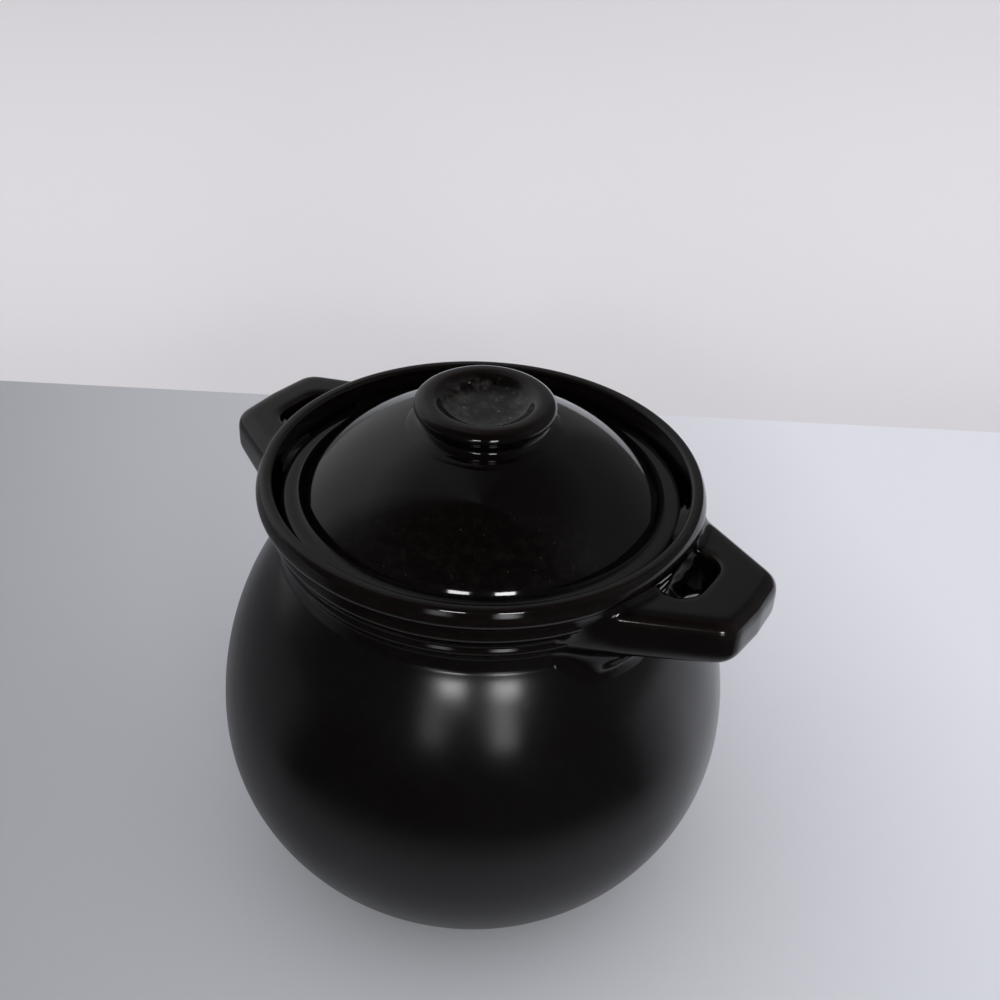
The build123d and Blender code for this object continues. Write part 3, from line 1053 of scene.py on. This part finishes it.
def backdrop_material(stage):
    """Matt white wall behind the pot, clear from its back so that it hides nothing."""
    nodes = Finish("pale_wall")
    nodes.shader.inputs["Base Color"].default_value = (*stage.backdrop, 1)
    nodes.shader.inputs["Roughness"].default_value = 0.95
    nodes.shader.inputs["Specular IOR Level"].default_value = 0.1
    clear = nodes.add("ShaderNodeBsdfTransparent")
    side = nodes.add("ShaderNodeNewGeometry")
    nodes.surface(nodes.blended(
        side.outputs["Backfacing"], nodes.shader.outputs["BSDF"], clear.outputs["BSDF"]))
    return nodes.material


def add_floor(stage):
    """One large level floor under the pot, and a wall behind it that rises from it in a soft bend."""
    turn = Matrix.Rotation(stage.camera_turn, 3, "Z")
    bm = bmesh.new()
    bmesh.ops.create_grid(bm, x_segments=4, y_segments=4, size=4.0)
    bmesh.ops.rotate(bm, cent=(0, 0, 0), matrix=turn, verts=bm.verts)
    ground = new_object("floor", bm)
    ground.data.materials.append(floor_material(stage))
    bm = bmesh.new()
    reach, wall_top, lift = 4.0, 3.0, 0.2 * MM
    bend, bend_steps = 0.2, 12
    near = stage.wall_distance - bend
    angles = [step * math.pi / 2 / bend_steps for step in range(bend_steps + 1)]
    line = [(near + bend * math.sin(angle), bend - bend * math.cos(angle)) for angle in angles]
    line.append((near + bend, wall_top))
    left = [bm.verts.new((-reach, ahead, rise + lift)) for ahead, rise in line]
    right = [bm.verts.new((reach, ahead, rise + lift)) for ahead, rise in line]
    for index in range(len(line) - 1):
        bm.faces.new((left[index], right[index], right[index + 1], left[index + 1]))
    bmesh.ops.rotate(bm, cent=(0, 0, 0), matrix=turn, verts=bm.verts)
    wall = new_object("backdrop", bm)
    wall.data.materials.append(backdrop_material(stage))
    wall.visible_glossy = False


def add_pane(stage, name, turn, radiance):
    """One bright window pane that faces the middle of the pot."""
    data = bpy.data.lights.new(name, "AREA")
    data.shape = "RECTANGLE"
    data.size, data.size_y = stage.pane_width, stage.pane_height
    data.energy = radiance * math.pi * stage.pane_width * stage.pane_height
    lamp = bpy.data.objects.new(name, data)
    rise = stage.window_rise
    away = heading(stage, turn) * math.cos(rise) + Vector((0, 0, math.sin(rise)))
    middle = Vector((0, 0, 0.12))
    lamp.location = middle + away * stage.window_distance
    lamp.rotation_euler = (-away).to_track_quat("-Z", "Y").to_euler()
    lamp.visible_camera = False
    bpy.context.scene.collection.objects.link(lamp)


def add_camera(stage):
    """Camera at the photograph's viewing angle."""
    data = bpy.data.cameras.new("camera")
    data.lens = stage.lens
    data.sensor_width = 36.0
    data.clip_start = 0.01
    view = bpy.data.objects.new("camera", data)
    turn = Matrix.Rotation(stage.camera_turn, 4, "Z")
    pitch = Matrix.Rotation(math.pi / 2 - stage.camera_pitch, 4, "X")
    roll = Matrix.Rotation(stage.camera_roll, 4, "Z")
    view.matrix_world = Matrix.Translation(stage.camera_place) @ turn @ pitch @ roll
    bpy.context.scene.collection.objects.link(view)
    bpy.context.scene.camera = view


class CLAYPOT_OT_stage(bpy.types.Operator):
    """Set up the floor, the room light, the windows and the camera"""
    bl_idname = "claypot.stage"
    bl_label = "Stage"

    def execute(self, context):
        stage = context.scene.claypot_stage
        context.scene.view_settings.view_transform = "Standard"
        surroundings(stage)
        add_floor(stage)
        for name, turn, radiance in WINDOWS:
            add_pane(stage, f"{name}_near", math.radians(turn - PANE_TURN), radiance)
            add_pane(stage, f"{name}_far", math.radians(turn + PANE_TURN), radiance)
        add_camera(stage)
        return {"FINISHED"}


# Panel and registration


class CLAYPOT_PT_panel(bpy.types.Panel):
    """Sizes and steps of the clay soup pot"""
    bl_idname = "CLAYPOT_PT_panel"
    bl_label = "Clay Pot"
    bl_space_type = "VIEW_3D"
    bl_region_type = "UI"
    bl_category = "Clay Pot"

    def draw(self, context):
        for name in GROUPS:
            group = getattr(context.scene, name)
            box = self.layout.box()
            for key in group.bl_rna.properties.keys():
                if key not in {"rna_type", "name"}:
                    box.prop(group, key)
        for step in STEPS:
            self.layout.operator(step.bl_idname)


GROUPS = {
    "claypot_sizes": PotSizes,
    "claypot_lid": LidSizes,
    "claypot_handles": HandleSizes,
    "claypot_glaze": GlazeLook,
    "claypot_stage": StageLook,
}
STEPS = (
    CLAYPOT_OT_glazes, CLAYPOT_OT_body, CLAYPOT_OT_lid, CLAYPOT_OT_knob, CLAYPOT_OT_handles, CLAYPOT_OT_stage,
)


def register():
    for cls in (*GROUPS.values(), *STEPS, CLAYPOT_PT_panel):
        bpy.utils.register_class(cls)
    for name, group in GROUPS.items():
        setattr(bpy.types.Scene, name, PointerProperty(type=group))


def unregister():
    for name in GROUPS:
        delattr(bpy.types.Scene, name)
    for cls in reversed((*GROUPS.values(), *STEPS, CLAYPOT_PT_panel)):
        bpy.utils.unregister_class(cls)


def main():
    register()
    for name in ("Cube", "Light", "Camera"):
        if name in bpy.data.objects:
            bpy.data.objects.remove(bpy.data.objects[name])
    bpy.ops.claypot.glazes()
    bpy.ops.claypot.body()
    bpy.ops.claypot.lid()
    bpy.ops.claypot.knob()
    bpy.ops.claypot.handles()
    bpy.ops.claypot.stage()


if __name__ == "__main__":
    main()
